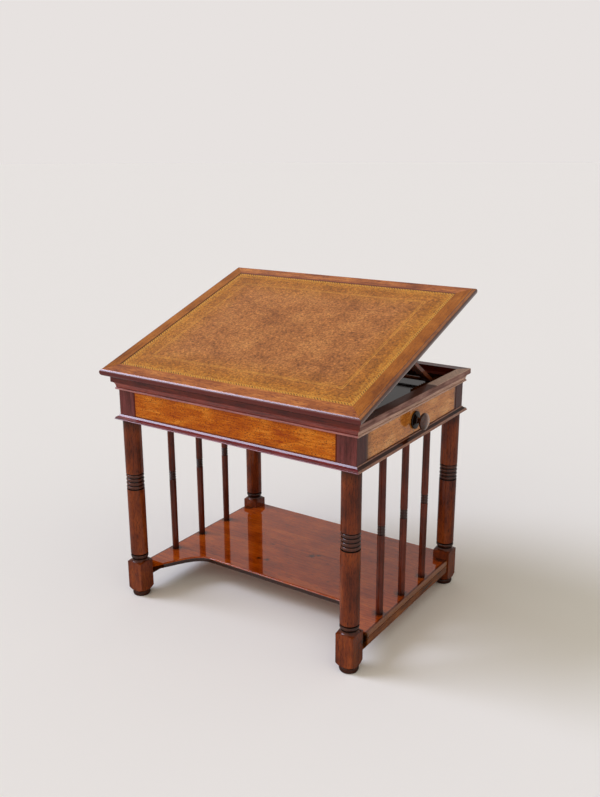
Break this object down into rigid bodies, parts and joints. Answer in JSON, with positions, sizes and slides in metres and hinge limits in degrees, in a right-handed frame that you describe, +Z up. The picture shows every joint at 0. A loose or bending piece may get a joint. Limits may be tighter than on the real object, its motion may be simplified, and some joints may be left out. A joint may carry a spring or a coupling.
{
  "type": "tilting reading table",
  "caption": "Low rectangular side table with turned legs and an end drawer, whose leather-lined top tilts up on a folding strut to make a reading slope over a shallow tray.",
  "frame": {"origin": "on the floor, under the middle of the whole outline at rest, with the top tilted and the knob standing out", "axes": "+X along the front towards the drawer end, +Y from the hinged front edge towards the raised back, +Z up"},
  "size_m": [0.6496, 0.5114, 0.7023],
  "materials": {
    "dark_mahogany": "French-polished mahogany darkened with age, turned legs, spindles and corner posts",
    "moulding_mahogany": "French-polished mahogany mouldings, dirt-darkened in the hollows",
    "frieze_mahogany": "bright orange-gold figured mahogany under a high gloss",
    "shelf_mahogany": "mirror-glossy mahogany board with small dark knots",
    "rail_mahogany": "satin mahogany",
    "top_mahogany": "orange-brown polished mahogany frame, worn lighter on its rounded edge",
    "core_mahogany": "plain satin mahogany, the underside of the top",
    "strut_mahogany": "satin mahogany",
    "tray_lining": "dull near-black stained board",
    "drawer_lining": "bare pale drawer lining wood",
    "knob_mahogany": "dark polished turned wood",
    "tanned_leather": "mottled golden-brown leather with a tooled gold and dark border",
    "aged_brass": "aged brass"
  },
  "bodies": {
    "case": {"leg_front_left": "dark_mahogany", "leg_front_right": "dark_mahogany", "leg_back_left": "dark_mahogany", "leg_back_right": "dark_mahogany", "corner_post_front_left": "dark_mahogany", "corner_post_front_right": "dark_mahogany", "corner_post_back_left": "dark_mahogany", "corner_post_back_right": "dark_mahogany", "spindle_left_front": "dark_mahogany", "spindle_left_middle": "dark_mahogany", "spindle_left_back": "dark_mahogany", "spindle_right_front": "dark_mahogany", "spindle_right_middle": "dark_mahogany", "spindle_right_back": "dark_mahogany", "cornice_front": "moulding_mahogany", "cornice_right": "moulding_mahogany", "cornice_back": "moulding_mahogany", "cornice_left": "moulding_mahogany", "lower_moulding_front": "moulding_mahogany", "lower_moulding_right": "moulding_mahogany", "lower_moulding_back": "moulding_mahogany", "lower_moulding_left": "moulding_mahogany", "frieze_rail_front": "frieze_mahogany", "frieze_rail_back": "frieze_mahogany", "frieze_rail_left": "frieze_mahogany", "shelf": "shelf_mahogany", "shelf_end_rail_left": "rail_mahogany", "shelf_end_rail_right": "rail_mahogany", "ratchet_rack_left": "strut_mahogany", "ratchet_rack_right": "strut_mahogany", "tray_floor": "tray_lining", "drawer_runner_front": "drawer_lining", "drawer_runner_back": "drawer_lining", "hinge_rim_leaf_left": "aged_brass", "hinge_rim_leaf_right": "aged_brass"},
    "lid": {"top_frame_front": "top_mahogany", "top_frame_right": "top_mahogany", "top_frame_back": "top_mahogany", "top_frame_left": "top_mahogany", "top_core_panel": "core_mahogany", "leather_inlay": "tanned_leather", "hinge_top_leaf_left": "aged_brass", "hinge_top_leaf_right": "aged_brass", "strut_bracket_left": "aged_brass", "strut_bracket_right": "aged_brass"},
    "strut": {"strut_stile_left": "strut_mahogany", "strut_stile_right": "strut_mahogany", "strut_pin_left": "aged_brass", "strut_pin_right": "aged_brass", "strut_cross_rail": "strut_mahogany", "strut_foot_rail": "strut_mahogany"},
    "drawer": {"drawer_front": "frieze_mahogany", "drawer_side_front": "drawer_lining", "drawer_side_back": "drawer_lining", "drawer_back": "drawer_lining", "drawer_bottom": "drawer_lining", "drawer_knob": "knob_mahogany"}
  },
  "joints": [
    {"name": "lid_tilt", "type": "hinge", "parent": "case", "child": "lid", "pos_m": [0, -0.23126, 0.5203], "axis": [1, 0, 0], "range_deg": [-18.6, 12]},
    {"name": "strut_fold", "type": "hinge", "parent": "lid", "child": "strut", "pos_m": [0, 0.01208, 0.59671], "axis": [1, 0, 0], "range_deg": [-34, 52.1]},
    {"name": "drawer_slide", "type": "slide", "parent": "case", "child": "drawer", "axis": [1, 0, 0], "range_m": [0, 0.3]}
  ],
  "couplings": [
    {"joint": "strut_fold", "follows": "lid_tilt", "ratio": -2.8}
  ]
}
